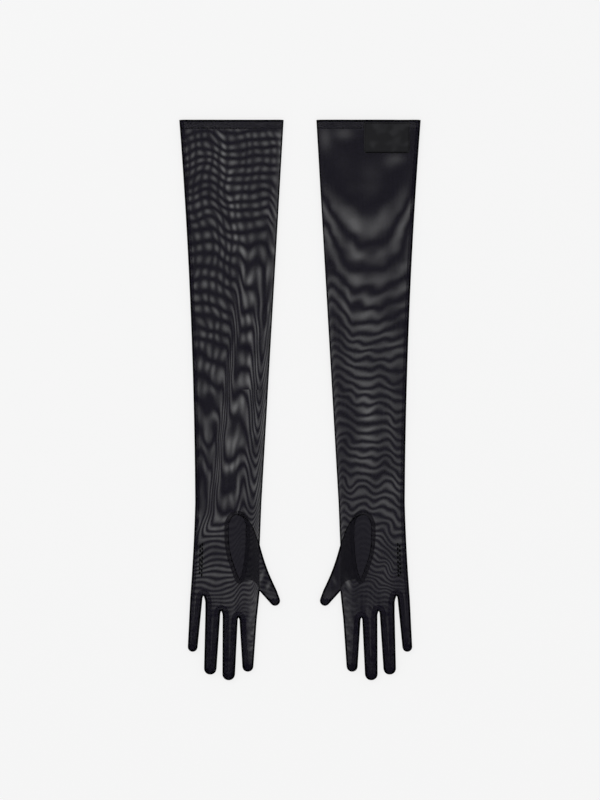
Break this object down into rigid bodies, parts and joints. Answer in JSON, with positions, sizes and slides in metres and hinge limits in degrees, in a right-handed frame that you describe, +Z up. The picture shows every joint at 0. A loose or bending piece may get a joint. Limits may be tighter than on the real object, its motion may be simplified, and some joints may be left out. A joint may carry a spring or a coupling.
{
  "type": "opera gloves",
  "caption": "Pair of long sheer mesh gloves laid flat, palms up, with folded hems, side seams, set-in thumbs and strip-sided fingers; elbows, wrists, thumbs and fingers fold.",
  "frame": {"origin": "centre of the pair's bounding box, on the surface it lies on", "axes": "+Z up, out of the palms; +Y along the sleeves, from the fingertips to the cuffs; +X towards the right-hand glove"},
  "size_m": [0.254, 0.59, 0.0065],
  "materials": {
    "sheer_mesh": "matte",
    "fold_mesh": "matte",
    "seam_mesh": "matte",
    "hem_mesh": "matte",
    "gusset_mesh": "matte",
    "strip_mesh": "matte",
    "label_satin": "satin",
    "thread": "matte"
  },
  "bodies": {
    "left_sleeve": {"left_upper_sleeve_palm": "sheer_mesh", "left_upper_sleeve_back": "sheer_mesh", "left_upper_sleeve_fold": "fold_mesh", "left_upper_sleeve_seam": "seam_mesh", "left_hem_facing": "hem_mesh"},
    "left_forearm": {"left_forearm_palm": "sheer_mesh", "left_forearm_back": "sheer_mesh", "left_forearm_fold": "fold_mesh", "left_forearm_seam": "seam_mesh"},
    "left_hand": {"left_hand_palm": "sheer_mesh", "left_hand_back": "sheer_mesh", "left_hand_fold": "fold_mesh", "left_hand_seam": "seam_mesh", "left_thumb_gusset": "gusset_mesh", "left_finger_forks": "strip_mesh"},
    "left_thumb": {"left_thumb_cloth": "sheer_mesh", "left_thumb_strips": "strip_mesh"},
    "left_index": {"left_index_finger_cloth": "sheer_mesh", "left_index_finger_strips": "strip_mesh"},
    "left_middle": {"left_middle_finger_cloth": "sheer_mesh", "left_middle_finger_strips": "strip_mesh"},
    "left_ring": {"left_ring_finger_cloth": "sheer_mesh", "left_ring_finger_strips": "strip_mesh"},
    "left_little": {"left_little_finger_cloth": "sheer_mesh", "left_little_finger_strips": "strip_mesh"},
    "right_sleeve": {"right_upper_sleeve_palm": "sheer_mesh", "right_upper_sleeve_back": "sheer_mesh", "right_upper_sleeve_fold": "fold_mesh", "right_upper_sleeve_seam": "seam_mesh", "right_hem_facing": "hem_mesh", "label_patch": "label_satin", "label_stitching": "thread"},
    "right_forearm": {"right_forearm_palm": "sheer_mesh", "right_forearm_back": "sheer_mesh", "right_forearm_fold": "fold_mesh", "right_forearm_seam": "seam_mesh"},
    "right_hand": {"right_hand_palm": "sheer_mesh", "right_hand_back": "sheer_mesh", "right_hand_fold": "fold_mesh", "right_hand_seam": "seam_mesh", "right_thumb_gusset": "gusset_mesh", "right_finger_forks": "strip_mesh"},
    "right_thumb": {"right_thumb_cloth": "sheer_mesh", "right_thumb_strips": "strip_mesh"},
    "right_index": {"right_index_finger_cloth": "sheer_mesh", "right_index_finger_strips": "strip_mesh"},
    "right_middle": {"right_middle_finger_cloth": "sheer_mesh", "right_middle_finger_strips": "strip_mesh"},
    "right_ring": {"right_ring_finger_cloth": "sheer_mesh", "right_ring_finger_strips": "strip_mesh"},
    "right_little": {"right_little_finger_cloth": "sheer_mesh", "right_little_finger_strips": "strip_mesh"}
  },
  "joints": [
    {"name": "pair_spacing", "type": "slide", "parent": "left_sleeve", "child": "right_sleeve", "axis": [1, 0, 0], "range_m": [-0.03, 0.15]},
    {"name": "left_elbow_fold", "type": "hinge", "parent": "left_sleeve", "child": "left_forearm", "pos_m": [-0.07182, 0.13, 0.006], "axis": [-1, 0, 0], "range_deg": [0, 145]},
    {"name": "left_wrist_fold", "type": "hinge", "parent": "left_forearm", "child": "left_hand", "pos_m": [-0.0755, -0.108, 0.006], "axis": [-1, 0, 0], "range_deg": [0, 80]},
    {"name": "left_thumb_fold", "type": "hinge", "parent": "left_hand", "child": "left_thumb", "pos_m": [-0.0426, -0.177, 0.006], "axis": [0, -1, 0], "range_deg": [0, 90]},
    {"name": "left_index_fold", "type": "hinge", "parent": "left_hand", "child": "left_index", "pos_m": [-0.0547, -0.232, 0.006], "axis": [-1, 0, 0], "range_deg": [0, 90]},
    {"name": "left_middle_fold", "type": "hinge", "parent": "left_hand", "child": "left_middle", "pos_m": [-0.0736, -0.232, 0.006], "axis": [-1, 0, 0], "range_deg": [0, 90]},
    {"name": "left_ring_fold", "type": "hinge", "parent": "left_hand", "child": "left_ring", "pos_m": [-0.092, -0.225, 0.006], "axis": [-1, 0, 0], "range_deg": [0, 90]},
    {"name": "left_little_fold", "type": "hinge", "parent": "left_hand", "child": "left_little", "pos_m": [-0.1097, -0.209, 0.006], "axis": [-1, 0, 0], "range_deg": [0, 90]},
    {"name": "right_elbow_fold", "type": "hinge", "parent": "right_sleeve", "child": "right_forearm", "pos_m": [0.07182, 0.13, 0.006], "axis": [-1, 0, 0], "range_deg": [0, 145]},
    {"name": "right_wrist_fold", "type": "hinge", "parent": "right_forearm", "child": "right_hand", "pos_m": [0.0755, -0.108, 0.006], "axis": [-1, 0, 0], "range_deg": [0, 80]},
    {"name": "right_thumb_fold", "type": "hinge", "parent": "right_hand", "child": "right_thumb", "pos_m": [0.0426, -0.177, 0.006], "axis": [0, 1, 0], "range_deg": [0, 90]},
    {"name": "right_index_fold", "type": "hinge", "parent": "right_hand", "child": "right_index", "pos_m": [0.0547, -0.232, 0.006], "axis": [-1, 0, 0], "range_deg": [0, 90]},
    {"name": "right_middle_fold", "type": "hinge", "parent": "right_hand", "child": "right_middle", "pos_m": [0.0736, -0.232, 0.006], "axis": [-1, 0, 0], "range_deg": [0, 90]},
    {"name": "right_ring_fold", "type": "hinge", "parent": "right_hand", "child": "right_ring", "pos_m": [0.092, -0.225, 0.006], "axis": [-1, 0, 0], "range_deg": [0, 90]},
    {"name": "right_little_fold", "type": "hinge", "parent": "right_hand", "child": "right_little", "pos_m": [0.1097, -0.209, 0.006], "axis": [-1, 0, 0], "range_deg": [0, 90]}
  ]
}
